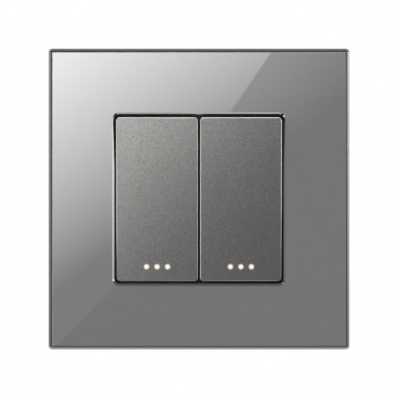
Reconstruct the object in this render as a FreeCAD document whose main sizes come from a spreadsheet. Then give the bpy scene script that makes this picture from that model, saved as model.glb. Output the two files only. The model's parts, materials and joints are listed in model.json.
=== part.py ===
import FreeCAD, Part
import os
import re
import Sketcher

# Double two-way light switch with a square glass panel, in millimetres.
# X runs to the right, Z runs up and the front looks along -Y. The origin lies on the wall
# plane, at the centre of the panel. Heights are measured from the wall plane to the front
# and depths from the wall plane to the back.

SIZES = {
    # glass panel
    "panel_width": 86.0,
    "panel_front": 10.2,
    "glass_thickness": 4.0,
    "glass_bevel": 1.15,
    "panel_corner": 1.1,
    "opening_width": 48.4,
    "opening_corner": 1.55,
    "opening_rim": 0.6,
    "rim_drop": 0.25,
    # panel carrier
    "carrier_inset": 1.0,
    "carrier_wall": 1.6,
    "carrier_web": 1.2,
    "carrier_corner": 1.6,
    "wall_gap": 0.3,
    "well_gap": 0.4,
    "well_wall": 1.2,
    "well_depth": 1.1,
    "latch_width": 5.4,
    "latch_thickness": 1.2,
    "latch_nose": 0.6,
    "latch_pitch": 24.0,
    "latch_gap": 0.15,
    "rib_thickness": 1.0,
    # mounting bridge
    "bridge_thickness": 1.2,
    "bridge_corner": 2.0,
    "flange_gap": 0.8,
    "flange_length": 40.0,
    "fold_radius": 0.6,
    "relief_width": 1.2,
    "catch_width": 6.4,
    "catch_height": 1.6,
    "catch_lift": 0.7,
    "screw_pitch": 60.0,
    "slot_length": 8.0,
    "slot_width": 3.6,
    "slot_margin": 1.0,
    "window_gap": 0.2,
    # housing
    "side_lap": 3.1,
    "end_lap": 3.6,
    "housing_corner": 2.5,
    "back_edge": 0.6,
    "back_gap": 1.555,
    "housing_wall": 1.6,
    "housing_flange": 1.2,
    "partition": 1.6,
    # front deck and its screws
    "deck_lap": 0.4,
    "deck_thickness": 1.2,
    "deck_corner": 1.2,
    "deck_screw_inset": 2.8,
    "deck_screw_radius": 1.1,
    "deck_screw_length": 5.4,
    "deck_head_radius": 1.9,
    "deck_head_land": 0.1,
    "screw_clearance": 0.1,
    "ear_thickness": 2.0,
    "ear_radius": 2.4,
    "ear_gap": 0.3,
    "tube_gap": 0.6,
    # rocker caps
    "centre_gap": 0.6,
    "side_gap": 0.55,
    "end_gap": 0.77,
    "cap_rise": 0.2,
    "cap_lift": 0.55,
    "cap_wall": 1.5,
    "cap_flare": 0.28,
    "cap_corner": 1.05,
    "cap_edge": 0.2,
    "cap_proud": 0.3,
    "hook_width": 5.0,
    "hook_leg": 1.0,
    "hook_nose": 0.5,
    "hook_height": 0.8,
    "hook_play": 0.05,
    "cap_rib_place": 8.7,
    "cap_rib_height": 1.4,
    "pivot_depth": 5.5,
    "rocker_tilt": 3.0,
    # light guides and dots
    "dot_radius": 0.6,
    "dot_pitch": 3.0,
    "dot_margin": 4.35,
    "guide_play": 0.03,
    "guide_width": 2.4,
    "guide_gap": 0.69,
    # rocker yokes
    "yoke_width": 10.0,
    "yoke_height": 14.0,
    "yoke_plate": 1.2,
    "hub_radius": 2.0,
    "hub_width": 7.2,
    "neck_height": 3.4,
    "trunnion_radius": 1.2,
    "trunnion_fit": 0.05,
    "trunnion_end": 0.1,
    "tube_radius": 2.4,
    "tube_length": 10.7,
    "bore_radius": 1.6,
    "bore_start": 2.5,
    # plungers and springs
    "plunger_fit": 0.05,
    "plunger_reach": 13.7,
    "plunger_length": 7.0,
    "plunger_taper": 1.0,
    "spring_radius": 1.4,
    "spring_wire": 0.4,
    "spring_play": 0.1,
    # contact arms
    "arm_width": 5.0,
    "arm_thickness": 1.0,
    "arm_length": 21.0,
    "arm_gap": 0.1,
    "arm_tilt": 6.0,
    "arm_corner": 1.0,
    "horn_gap": 0.3,
    "horn_width": 0.8,
    "nose_radius": 0.6,
    "contact_place": 8.5,
    "contact_side": 3.0,
    "contact_height": 0.8,
    "contact_gap": 0.1,
    "fixed_side": 3.2,
    "fixed_height": 0.7,
    # strips and terminals
    "strip_width": 3.2,
    "strip_thickness": 0.8,
    "tab_length": 8.4,
    "tab_bend": 0.4,
    "clamp_offset": 4.2,
    "cage_width": 6.4,
    "cage_height": 7.0,
    "cage_length": 5.5,
    "cage_wall": 1.0,
    "cage_play": 0.5,
    "cage_start": 1.8,
    "pocket_gap": 0.3,
    "clamp_screw_radius": 1.5,
    "clamp_screw_fit": 0.05,
    "clamp_head_radius": 2.4,
    "clamp_head_height": 1.5,
    "head_gap": 0.3,
    "screw_bite": 0.7,
    "wire_mouth": 3.6,
    "mouth_funnel": 0.5,
    # indicator boards
    "board_inset": 4.675,
    "board_lap": 1.0,
    "board_below": 2.0,
    "board_thickness": 0.8,
    "led_width": 1.6,
    "led_depth": 0.8,
    "led_height": 0.6,
    "lead_width": 0.6,
    "lead_hole_gap": 0.25,
}

# Heights in front of the wall plane that several pieces share
GLASS_BACK = "(panel_front - glass_thickness)"
WEB_BACK = "(panel_front - glass_thickness - carrier_web)"
FLANGE_FRONT = "(bridge_thickness + housing_flange)"
DECK_FRONT = "(bridge_thickness + housing_flange + deck_thickness)"
PIVOT_HEIGHT = "(panel_front + cap_proud - pivot_depth)"
LED_FRONT = f"({DECK_FRONT} + board_thickness + led_height)"

# Depths behind the wall plane
ARM_SEAT = "(nose_radius + arm_gap)"
ARM_DEPTH = f"(plunger_reach - {PIVOT_HEIGHT} + arm_gap + arm_thickness + {ARM_SEAT})"
ARM_SWING = "((contact_place + contact_side / 2) * sin(arm_tilt))"
STRIP_DEPTH = f"({ARM_DEPTH} - {ARM_SEAT} + contact_height + {ARM_SWING} + contact_gap + fixed_height)"
LEDGE_DEPTH = f"({STRIP_DEPTH} + strip_thickness)"
CAGE_DEPTH = f"({LEDGE_DEPTH} + cage_start)"
HOUSING_BACK = f"({STRIP_DEPTH} + tab_length + back_gap + housing_wall)"

# Widths and heights that follow from what a piece fits into or carries
BRIDGE_WIDTH = "(screw_pitch + slot_length + 2 * slot_margin)"
DECK_WIDTH = "(opening_width + 2 * deck_lap)"
HOUSING_WIDTH = f"({DECK_WIDTH} - 2 * side_lap)"
HOUSING_HEIGHT = f"({DECK_WIDTH} - 2 * end_lap)"
CAP_WIDTH = "((opening_width - centre_gap) / 2 - side_gap)"
CAP_HEIGHT = "(opening_width - 2 * end_gap)"

# Places across the front, from the centre of the panel
CELL_X = f"(({HOUSING_WIDTH} / 2 - housing_wall + partition / 2) / 2)"
CAP_X = f"((centre_gap + {CAP_WIDTH}) / 2)"
DOT_DROP = f"({CAP_HEIGHT} / 2 - dot_margin)"
CAGE_TOP = f"({HOUSING_HEIGHT} / 2 - housing_wall - cage_play)"
TAB_TOP = f"({CAGE_TOP} - cage_wall - screw_bite)"
WIRE_Z = f"(({TAB_TOP} - strip_thickness + {CAGE_TOP} - cage_height + cage_wall) / 2)"
LEAD_Z = f"({TAB_TOP} - tab_bend - lead_width / 2)"
CELL_HALF = f"(({HOUSING_WIDTH} / 2 - housing_wall - partition / 2) / 2)"

# Places in a rocker's own frame, in front of its trunnion axis: the back rim of the cap, which
# clears the deck at full tilt, and the back of the light guide, which clears the LEDs
CAP_SWING = f"(({CAP_HEIGHT} / 2 + cap_flare + cap_rise) * sin(rocker_tilt))"
CAP_RIM = f"({DECK_FRONT} + cap_lift - {PIVOT_HEIGHT} + {CAP_SWING})"
GUIDE_END = f"({LED_FRONT} + guide_gap - {PIVOT_HEIGHT} + {DOT_DROP} * sin(rocker_tilt))"

# Each gang has one clamp above and two below: its side step from the cell centre and its up or down
CLAMPS = ((0, 1), (1, -1), (-1, -1))

# The gangs: name and side of the panel
GANGS = (("left", -1), ("right", 1))

doc = FreeCAD.newDocument("LightSwitch")
sheet = doc.addObject("Spreadsheet::Sheet", "Sizes")
for row, (alias, number) in enumerate(SIZES.items(), start=1):
    sheet.set(f"A{row}", alias)
    sheet.set(f"B{row}", str(number))
    sheet.setAlias(f"B{row}", alias)
doc.recompute()

subparts = []


def formula(text):
    """A formula with the sheet's name put before each of its sizes."""
    return re.sub(r"[a-z_]+", lambda word: "Sizes." + word[0] if word[0] in SIZES else word[0], str(text))


def value(text):
    """The number that a formula gives now."""
    return float(sheet.evalExpression(formula(text)))


def bind(feature, prop, text):
    feature.setExpression(prop, formula(text))


def new_body(name, x="0", height="0", tilt="0"):
    """A body at a place across and in front of the wall, leaning forward about the X axis."""
    body = doc.addObject("PartDesign::Body", name)
    body.Label = name
    body.Placement = FreeCAD.Placement(FreeCAD.Vector(), FreeCAD.Rotation(FreeCAD.Vector(1, 0, 0), 1))
    bind(body, "Placement.Base.x", x)
    bind(body, "Placement.Base.y", f"-1 * ({height})")
    bind(body, "Placement.Rotation.Angle", tilt)
    subparts.append(body)
    return body


def new_sketch(body, role, offset="0"):
    """A sketch on an origin plane. XZ sketches face the front and YZ sketches face right."""
    sketch = body.newObject("Sketcher::SketchObject", "Sketch")
    plane = next(item for item in body.Origin.OriginFeatures if item.Role == role)
    sketch.AttachmentSupport = [(plane, "")]
    sketch.MapMode = "FlatFace"
    bind(sketch, "AttachmentOffset.Base.z", offset)
    return sketch


def fix_point(sketch, item, end, across, up):
    """Ties one point of a sketch to its place."""
    for kind, text in (("DistanceX", across), ("DistanceY", up)):
        index = sketch.addConstraint(Sketcher.Constraint(kind, -1, 1, item, end, value(text)))
        bind(sketch, f"Constraints[{index}]", text)


def draw_polygon(sketch, points):
    """A closed outline whose corners are all tied to their places."""
    corners = [FreeCAD.Vector(value(across), value(up), 0) for across, up in points]
    first = sketch.GeometryCount
    count = len(points)
    for step in range(count):
        sketch.addGeometry(Part.LineSegment(corners[step], corners[(step + 1) % count]), False)
    for step in range(count):
        after = first + (step + 1) % count
        sketch.addConstraint(Sketcher.Constraint("Coincident", first + step, 2, after, 1))
    for step, (across, up) in enumerate(points):
        fix_point(sketch, first + step, 1, across, up)


def draw_box(sketch, left, right, low, high):
    draw_polygon(sketch, ((left, low), (right, low), (right, high), (left, high)))


def draw_centred(sketch, across, up, width, height):
    draw_box(
        sketch,
        f"{across} - ({width}) / 2",
        f"{across} + ({width}) / 2",
        f"{up} - ({height}) / 2",
        f"{up} + ({height}) / 2",
    )


def draw_circle(sketch, across, up, radius):
    item = sketch.GeometryCount
    centre = FreeCAD.Vector(value(across), value(up), 0)
    sketch.addGeometry(Part.Circle(centre, FreeCAD.Vector(0, 0, 1), value(radius)), False)
    fix_point(sketch, item, 3, across, up)
    index = sketch.addConstraint(Sketcher.Constraint("Radius", item, value(radius)))
    bind(sketch, f"Constraints[{index}]", radius)


def pad(body, sketch, length, reverse=False, midplane=False):
    feature = body.newObject("PartDesign::Pad", "Pad")
    feature.Profile = sketch
    bind(feature, "Length", length)
    feature.Reversed = reverse
    feature.Midplane = midplane
    doc.recompute()
    return feature


def pocket(body, sketch, length=None, forward=False, midplane=False):
    """A cut from the sketch to the back, or to the front, and right through with no length."""
    before = body.Shape.Volume
    feature = body.newObject("PartDesign::Pocket", "Pocket")
    feature.Profile = sketch
    if length is None:
        feature.Type = "ThroughAll"
    else:
        bind(feature, "Length", length)
    feature.Reversed = forward
    feature.Midplane = midplane
    doc.recompute()
    if not body.Shape.Volume < before:
        raise RuntimeError(f"a cut in {body.Label} removes nothing")
    return feature


def edges_where(feature, test):
    return [f"Edge{place}" for place, edge in enumerate(feature.Shape.Edges, start=1) if test(edge)]


def lies_at(edge, height):
    """Whether an edge lies in the plane at this height in the body's own frame."""
    box = edge.BoundBox
    return abs(box.YMin + height) < 0.001 and abs(box.YMax + height) < 0.001


def runs_along_y(edge):
    box = edge.BoundBox
    return box.YLength > 0.001 and box.XLength < 0.001 and box.ZLength < 0.001


def runs_along_x(edge):
    box = edge.BoundBox
    return box.XLength > 0.001 and box.YLength < 0.001 and box.ZLength < 0.001


def reach(edge):
    """How far an edge lies from the Y axis, measured square."""
    centre = edge.BoundBox.Center
    return max(abs(centre.x), abs(centre.z))


def fillet(body, base, test, radius):
    feature = body.newObject("PartDesign::Fillet", "Fillet")
    feature.Base = (base, edges_where(base, test))
    bind(feature, "Radius", radius)
    doc.recompute()
    return feature


def chamfer(body, base, test, size, drop=None):
    """A chamfer at 45 degrees, or with a drop of its own down the wall behind the face."""
    feature = body.newObject("PartDesign::Chamfer", "Chamfer")
    feature.Base = (base, edges_where(base, test))
    bind(feature, "Size", size)
    if drop is not None:
        feature.ChamferType = "Two distances"
        feature.FlipDirection = True
        bind(feature, "Size2", drop)
    doc.recompute()
    return feature


# Glass panel: a square plate with a mitred, polished bevel round its front and a rimmed square opening
def make_glass_panel():
    body = new_body("glass_panel")
    outline = new_sketch(body, "XZ_Plane", GLASS_BACK)
    draw_centred(outline, "0", "0", "panel_width", "panel_width")
    plate = pad(body, outline, "glass_thickness")
    front = value("panel_front")
    bevelled = chamfer(body, plate, lambda edge: lies_at(edge, front), "glass_bevel")
    fillet(body, bevelled, runs_along_y, "panel_corner")
    hole = new_sketch(body, "XZ_Plane", "panel_front")
    draw_centred(hole, "0", "0", "opening_width", "opening_width")
    opened = pocket(body, hole)
    limit = value("opening_width / 2") + 0.1
    inner = fillet(body, opened, lambda edge: runs_along_y(edge) and reach(edge) < limit, "opening_corner")

    def opening_edge(edge):
        return lies_at(edge, front) and reach(edge) < limit

    chamfer(body, inner, opening_edge, "opening_rim", drop="rim_drop")


# Panel carrier: a shallow tray behind the glass, with a well round the opening and four latch legs
def make_panel_carrier():
    body = new_body("panel_carrier")
    side = "panel_width - 2 * carrier_inset"
    outline = new_sketch(body, "XZ_Plane", "wall_gap")
    draw_centred(outline, "0", "0", side, side)
    block = pad(body, outline, f"{GLASS_BACK} - wall_gap")
    fillet(body, block, runs_along_y, "carrier_corner")
    inside = new_sketch(body, "XZ_Plane", WEB_BACK)
    draw_centred(inside, "0", "0", f"{side} - 2 * carrier_wall", f"{side} - 2 * carrier_wall")
    pocket(body, inside)

    well = new_sketch(body, "XZ_Plane", WEB_BACK)
    outer = "opening_width + 2 * well_gap + 2 * well_wall"
    draw_centred(well, "0", "0", outer, outer)
    pad(body, well, "well_depth", reverse=True)
    hole = new_sketch(body, "XZ_Plane", GLASS_BACK)
    draw_centred(hole, "0", "0", "opening_width + 2 * well_gap", "opening_width + 2 * well_gap")
    pocket(body, hole)

    # Each latch leg stands outside a bridge flange, and its nose reaches in through the catch
    leg_face = f"({BRIDGE_WIDTH} / 2 + latch_gap)"
    legs = new_sketch(body, "XZ_Plane", WEB_BACK)
    for across in (-1, 1):
        for up in (-1, 1):
            draw_centred(
                legs,
                f"{across} * ({leg_face} + latch_thickness / 2)",
                f"{up} * latch_pitch / 2",
                "latch_thickness",
                "latch_width",
            )
    pad(body, legs, f"{WEB_BACK} - bridge_thickness - catch_lift + latch_gap", reverse=True)
    nose_low = "(bridge_thickness + catch_lift + latch_gap)"
    nose_high = "(bridge_thickness + catch_lift + catch_height - latch_gap)"
    for across in (-1, 1):
        for up in (-1, 1):
            nose = new_sketch(body, "XY_Plane", f"{up} * latch_pitch / 2")
            draw_polygon(
                nose,
                (
                    (f"{across} * {leg_face}", f"-{nose_high}"),
                    (f"{across} * ({leg_face} - latch_nose)", f"-{nose_high}"),
                    (f"{across} * ({leg_face} - latch_nose)", f"-({nose_high} + {nose_low}) / 2"),
                    (f"{across} * {leg_face}", f"-{nose_low}"),
                ),
            )
            pad(body, nose, "latch_width", midplane=True)

    # Ribs brace the outer wall beside each latch leg
    ribs = new_sketch(body, "XZ_Plane", WEB_BACK)
    wall_face = f"(({side}) / 2 - carrier_wall)"
    for across in (-1, 1):
        for up in (-1, 0, 1):
            draw_box(
                ribs,
                f"{across} * ({leg_face} + latch_thickness)",
                f"{across} * {wall_face}",
                f"{up} * latch_pitch / 2 - rib_thickness / 2",
                f"{up} * latch_pitch / 2 + rib_thickness / 2",
            )
    pad(body, ribs, f"{WEB_BACK} - bridge_thickness - catch_lift - catch_height", reverse=True)


# Mounting bridge: a stamped steel plate with a window, four screw slots and two folded flanges
def make_mounting_bridge():
    body = new_body("mounting_bridge")
    outline = new_sketch(body, "XZ_Plane")
    draw_centred(outline, "0", "0", BRIDGE_WIDTH, BRIDGE_WIDTH)
    plate = pad(body, outline, "bridge_thickness")
    chamfer(body, plate, runs_along_y, "bridge_corner")

    # A relief notch at each end of a flange lets the sheet fold there without tearing
    reliefs = new_sketch(body, "XZ_Plane", "bridge_thickness")
    for across in (-1, 1):
        for up in (-1, 1):
            draw_centred(
                reliefs,
                f"{across} * {BRIDGE_WIDTH} / 2",
                f"{up} * (flange_length + relief_width) / 2",
                "2 * (bridge_thickness + fold_radius)",
                "relief_width",
            )
    pocket(body, reliefs)
    flanges = new_sketch(body, "XZ_Plane", "bridge_thickness")
    for across in (-1, 1):
        draw_centred(
            flanges,
            f"{across} * ({BRIDGE_WIDTH} - bridge_thickness) / 2",
            "0",
            "bridge_thickness",
            "flange_length",
        )
    folded = pad(body, flanges, f"{WEB_BACK} - flange_gap - bridge_thickness")
    flange = value("flange_length")
    side = value(f"{BRIDGE_WIDTH} / 2")
    thick = value("bridge_thickness")

    def along_fold(edge, place, height):
        length_fits = abs(edge.BoundBox.ZLength - flange) < 0.001
        return length_fits and lies_at(edge, height) and abs(reach(edge) - place) < 0.001

    outer = fillet(body, folded, lambda edge: along_fold(edge, side, 0), "bridge_thickness + fold_radius")
    fillet(body, outer, lambda edge: along_fold(edge, side - thick, thick), "fold_radius")
    catches = new_sketch(body, "YZ_Plane")
    for up in (-1, 1):
        draw_centred(
            catches,
            "-(bridge_thickness + catch_lift + catch_height / 2)",
            f"{up} * latch_pitch / 2",
            "catch_height",
            "catch_width",
        )
    pocket(body, catches, BRIDGE_WIDTH, midplane=True)

    window = new_sketch(body, "XZ_Plane", "bridge_thickness")
    draw_polygon(window, housing_outline("window_gap"))
    pocket(body, window)
    holes = new_sketch(body, "XZ_Plane", "bridge_thickness")
    draw_deck_screws(holes, "deck_screw_radius + screw_clearance / 2")
    pocket(body, holes)

    # The wall screws go through slots on both centre lines, so the box may lie either way
    flat = "slot_length - slot_width"
    middles = new_sketch(body, "XZ_Plane", "bridge_thickness")
    ends = new_sketch(body, "XZ_Plane", "bridge_thickness")
    for side in (-1, 1):
        draw_centred(middles, f"{side} * screw_pitch / 2", "0", flat, "slot_width")
        draw_centred(middles, "0", f"{side} * screw_pitch / 2", "slot_width", flat)
        for end in (-1, 1):
            along = f"{side} * screw_pitch / 2 + {end} * ({flat}) / 2"
            draw_circle(ends, along, "0", "slot_width / 2")
            draw_circle(ends, "0", along, "slot_width / 2")
    pocket(body, middles)
    pocket(body, ends)


DECK_SCREWS = tuple(
    (f"{side} * ({DECK_WIDTH} / 2 - deck_screw_inset)", f"-{side} * ({DECK_WIDTH} / 2 - deck_screw_inset)")
    for side in (-1, 1)
)


def draw_deck_screws(sketch, radius):
    """The two screws at opposite corners of the deck."""
    for across, up in DECK_SCREWS:
        draw_circle(sketch, across, up, radius)


def housing_outline(margin="0"):
    """The outline of the housing with its clipped corners, grown by a margin."""
    wide = f"({HOUSING_WIDTH} / 2 + {margin})"
    high = f"({HOUSING_HEIGHT} / 2 + {margin})"
    corners = []
    for across, up in ((1, 1), (1, -1), (-1, -1), (-1, 1)):
        beside = (f"{across} * {wide}", f"{up} * ({high} - housing_corner)")
        above = (f"{across} * ({wide} - housing_corner)", f"{up} * {high}")
        corners += [above, beside] if across == up else [beside, above]
    return corners


# Housing: a moulded box with one cell for each gang, a flange in front of the bridge,
# and pockets, screw openings and wire mouths for the six terminals
def make_housing():
    body = new_body("housing")
    outline = new_sketch(body, "XZ_Plane", f"-{HOUSING_BACK}")
    draw_polygon(outline, housing_outline())
    block = pad(body, outline, f"{HOUSING_BACK} + bridge_thickness")
    back = -value(HOUSING_BACK)
    chamfer(body, block, lambda edge: lies_at(edge, back), "back_edge")
    rim = new_sketch(body, "XZ_Plane", "bridge_thickness")
    draw_centred(rim, "0", "0", DECK_WIDTH, DECK_WIDTH)
    flange = pad(body, rim, "housing_flange")
    thick = value("housing_flange")

    def flange_corner(edge):
        return runs_along_y(edge) and abs(edge.BoundBox.YLength - thick) < 0.001

    chamfer(body, flange, flange_corner, "deck_corner")
    holes = new_sketch(body, "XZ_Plane", FLANGE_FRONT)
    draw_deck_screws(holes, "deck_screw_radius + screw_clearance")
    pocket(body, holes, "housing_flange")

    cells = new_sketch(body, "XZ_Plane", FLANGE_FRONT)
    for _, side in GANGS:
        draw_centred(
            cells,
            f"{side} * {CELL_X}",
            "0",
            f"2 * {CELL_HALF}",
            f"{HOUSING_HEIGHT} - 2 * housing_wall",
        )
    pocket(body, cells, f"{FLANGE_FRONT} + {LEDGE_DEPTH}")

    pockets = new_sketch(body, "XZ_Plane", f"-{LEDGE_DEPTH}")
    mouths = new_sketch(body, "XZ_Plane", f"-({HOUSING_BACK} - housing_wall)")
    cage_low = f"({CAGE_TOP} - cage_height - pocket_gap)"
    cage_high = f"({CAGE_TOP} + pocket_gap)"
    for _, side in GANGS:
        for step, up in CLAMPS:
            centre = f"{side} * ({CELL_X} + {step} * clamp_offset)"
            draw_centred(
                pockets,
                centre,
                f"{up} * ({cage_low} + {cage_high}) / 2",
                "cage_width + 2 * pocket_gap",
                f"{cage_high} - {cage_low}",
            )
            draw_centred(mouths, centre, f"{up} * {WIRE_Z}", "wire_mouth", "wire_mouth")
    pocket(body, pockets, f"{HOUSING_BACK} - housing_wall - {LEDGE_DEPTH}")
    opened = pocket(body, mouths)
    mouth = value("wire_mouth")

    def mouth_rim(edge):
        return lies_at(edge, back) and abs(edge.Length - mouth) < 0.001

    chamfer(body, opened, mouth_rim, "mouth_funnel")

    for up in (-1, 1):
        screws = new_sketch(body, "XY_Plane", f"{up} * ({CAGE_TOP} + pocket_gap / 2)")
        for _, side in GANGS:
            for step, way in CLAMPS:
                if way == up:
                    centre = f"{side} * ({CELL_X} + {step} * clamp_offset)"
                    depth = f"{CAGE_DEPTH} + cage_length / 2"
                    width = "2 * (clamp_head_radius + head_gap)"
                    draw_centred(screws, centre, depth, width, width)
        pocket(body, screws, HOUSING_HEIGHT, forward=up > 0)


# Front deck: the black cover over the housing, with two bearing ears for each rocker
def make_front_deck():
    body = new_body("front_deck")
    outline = new_sketch(body, "XZ_Plane", FLANGE_FRONT)
    draw_centred(outline, "0", "0", DECK_WIDTH, DECK_WIDTH)
    plate = pad(body, outline, "deck_thickness")
    chamfer(body, plate, runs_along_y, "deck_corner")

    ear_x = "((hub_width + ear_thickness) / 2 + ear_gap)"
    for _, side in GANGS:
        for place in (-1, 1):
            offset = f"{side} * {CELL_X} + {place} * {ear_x}"
            post = new_sketch(body, "YZ_Plane", offset)
            draw_box(post, f"-{PIVOT_HEIGHT}", f"-{DECK_FRONT}", "-ear_radius", "ear_radius")
            pad(body, post, "ear_thickness", midplane=True)
            head = new_sketch(body, "YZ_Plane", offset)
            draw_circle(head, f"-{PIVOT_HEIGHT}", "0", "ear_radius")
            pad(body, head, "ear_thickness", midplane=True)
    bores = new_sketch(body, "YZ_Plane")
    draw_circle(bores, f"-{PIVOT_HEIGHT}", "0", "trunnion_radius + trunnion_fit")
    pocket(body, bores, DECK_WIDTH, midplane=True)

    holes = new_sketch(body, "XZ_Plane", DECK_FRONT)
    for _, side in GANGS:
        draw_centred(
            holes,
            f"{side} * {CELL_X}",
            "0",
            "hub_width + 2 * ear_gap",
            "2 * (tube_radius + tube_gap)",
        )
        for step in (-1, 1):
            draw_centred(
                holes,
                f"{side} * ({CELL_X} + {step} * clamp_offset)",
                f"-{LEAD_Z}",
                "lead_width + 2 * lead_hole_gap",
                "lead_width + 2 * lead_hole_gap",
            )
    pocket(body, holes)
    screws = new_sketch(body, "XZ_Plane", DECK_FRONT)
    draw_deck_screws(screws, "deck_screw_radius + screw_clearance")
    bored = pocket(body, screws)
    front = value(DECK_FRONT)
    bore = value("deck_screw_radius + screw_clearance")

    def screw_rim(edge):
        return lies_at(edge, front) and edge.Closed and abs(edge.Curve.Radius - bore) < 0.001

    chamfer(body, bored, screw_rim, "deck_head_radius - deck_screw_radius + screw_clearance")


# Deck screws: two countersunk screws through the deck and the flange into the bridge
def make_deck_screws():
    body = new_body("deck_screws")
    body.AllowCompound = True
    heads = new_sketch(body, "XZ_Plane", DECK_FRONT)
    draw_deck_screws(heads, "deck_head_radius")
    taper = "deck_head_radius - deck_screw_radius"
    discs = pad(body, heads, f"{taper} + deck_head_land", reverse=True)
    back = value(f"{DECK_FRONT} - ({taper}) - deck_head_land")
    chamfer(body, discs, lambda edge: lies_at(edge, back), taper)
    shafts = new_sketch(body, "XZ_Plane", DECK_FRONT)
    draw_deck_screws(shafts, "deck_screw_radius")
    pad(body, shafts, "deck_screw_length", reverse=True)


def rocker_body(name, side):
    """A body in the frame of a rocker: its origin on the trunnion axis, leaning top out."""
    return new_body(name, f"{side} * {CELL_X}", PIVOT_HEIGHT, "rocker_tilt")


# Rocker cap: a shallow moulded shell whose top and bottom flanks flare to the back,
# with two stiffening ribs, three light holes and two snap hooks for the yoke. It sits a little
# above the axis, so that the gaps over and under it look alike while the top stands out.
def make_rocker_cap(name, side):
    body = rocker_body(name, side)
    middle = f"({side} * ({CAP_X} - {CELL_X}))"
    roof = "(pivot_depth - cap_wall)"
    profile = new_sketch(body, "YZ_Plane", middle)
    draw_polygon(
        profile,
        (
            ("-pivot_depth", f"cap_rise + {CAP_HEIGHT} / 2"),
            ("-pivot_depth", f"cap_rise - {CAP_HEIGHT} / 2"),
            (f"-{CAP_RIM}", f"cap_rise - {CAP_HEIGHT} / 2 - cap_flare"),
            (f"-{CAP_RIM}", f"cap_rise + {CAP_HEIGHT} / 2 + cap_flare"),
        ),
    )
    block = pad(body, profile, CAP_WIDTH, midplane=True)
    depth = value(f"pivot_depth - {CAP_RIM}")
    rounded = fillet(body, block, lambda edge: abs(edge.BoundBox.YLength - depth) < 0.001, "cap_corner")
    face = value("pivot_depth")
    chamfer(body, rounded, lambda edge: lies_at(edge, face), "cap_edge")
    inside = new_sketch(body, "XZ_Plane", CAP_RIM)
    inner_height = f"{CAP_HEIGHT} - 2 * cap_wall"
    draw_centred(inside, middle, "cap_rise", f"{CAP_WIDTH} - 2 * cap_wall", inner_height)
    pocket(body, inside, f"{roof} - {CAP_RIM}", forward=True)

    dots = new_sketch(body, "XZ_Plane", "pivot_depth")
    draw_circle(dots, f"{middle} - dot_pitch", f"-{DOT_DROP}", "dot_radius + guide_play")
    hole = pocket(body, dots, "cap_wall")
    row = body.newObject("PartDesign::LinearPattern", "Dots")
    row.Originals = [hole]
    row.Direction = (dots, ["H_Axis"])
    bind(row, "Length", "2 * dot_pitch")
    row.Occurrences = 3
    body.Tip = row
    doc.recompute()

    ribs = new_sketch(body, "XZ_Plane", roof)
    for place in (-1, 1):
        rib_x = f"{middle} + {place} * cap_rib_place"
        draw_centred(ribs, rib_x, "cap_rise", "rib_thickness", inner_height)
    pad(body, ribs, "cap_rib_height", reverse=True)
    legs = new_sketch(body, "XZ_Plane", roof)
    noses = new_sketch(body, "XZ_Plane", f"{roof} - yoke_plate - hook_play")
    for up in (-1, 1):
        foot = f"{up} * (yoke_height / 2 + hook_play)"
        far = f"{up} * (yoke_height / 2 + hook_play + hook_leg)"
        tip = f"{up} * (yoke_height / 2 - hook_nose)"
        draw_box(legs, "-hook_width / 2", "hook_width / 2", foot, far)
        draw_box(noses, "-hook_width / 2", "hook_width / 2", tip, far)
    pad(body, legs, "yoke_plate + hook_play", reverse=True)
    pad(body, noses, "hook_height", reverse=True)


# Light guide: a clear bar behind the cap, which takes up the light of the LEDs,
# with three pins that end flush with the face of the cap
def make_light_guide(name, side):
    body = rocker_body(name, side)
    middle = f"({side} * ({CAP_X} - {CELL_X}))"
    bar = new_sketch(body, "XZ_Plane", GUIDE_END)
    draw_centred(bar, middle, f"-{DOT_DROP}", "2 * dot_pitch + guide_width", "guide_width")
    pad(body, bar, f"pivot_depth - cap_wall - {GUIDE_END}")
    pins = new_sketch(body, "XZ_Plane", "pivot_depth - cap_wall")
    for step in (-1, 0, 1):
        draw_circle(pins, f"{middle} + {step} * dot_pitch", f"-{DOT_DROP}", "dot_radius")
    pad(body, pins, "cap_wall")


# Rocker yoke: a plate under the cap, a hub with its trunnions and a tube for the plunger
def make_rocker_yoke(name, side):
    body = rocker_body(name, side)
    under_cap = "(pivot_depth - cap_wall - yoke_plate)"
    plate = new_sketch(body, "XZ_Plane", under_cap)
    draw_centred(plate, "0", "0", "yoke_width", "yoke_height")
    pad(body, plate, "yoke_plate")
    neck = new_sketch(body, "XZ_Plane")
    draw_centred(neck, "0", "0", "hub_width", "neck_height")
    pad(body, neck, under_cap)
    hub = new_sketch(body, "YZ_Plane")
    draw_circle(hub, "0", "0", "hub_radius")
    pad(body, hub, "hub_width", midplane=True)
    trunnions = new_sketch(body, "YZ_Plane")
    draw_circle(trunnions, "0", "0", "trunnion_radius")
    pad(body, trunnions, "hub_width + 2 * (ear_gap + ear_thickness - trunnion_end)", midplane=True)
    tube = new_sketch(body, "XZ_Plane", "-tube_length")
    draw_circle(tube, "0", "0", "tube_radius")
    pad(body, tube, "tube_length")
    bore = new_sketch(body, "XZ_Plane", "-tube_length")
    draw_circle(bore, "0", "0", "bore_radius")
    pocket(body, bore, "tube_length - bore_start", forward=True)


# Plunger: a pin with a tapered end that runs in the tube of the yoke
def make_plunger(name, side):
    body = rocker_body(name, side)
    end = new_sketch(body, "XZ_Plane", "-plunger_reach")
    draw_circle(end, "0", "0", "bore_radius - plunger_fit")
    pin = pad(body, end, "plunger_length")
    tip = value("-plunger_reach")
    chamfer(body, pin, lambda edge: lies_at(edge, tip), "plunger_taper")


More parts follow.
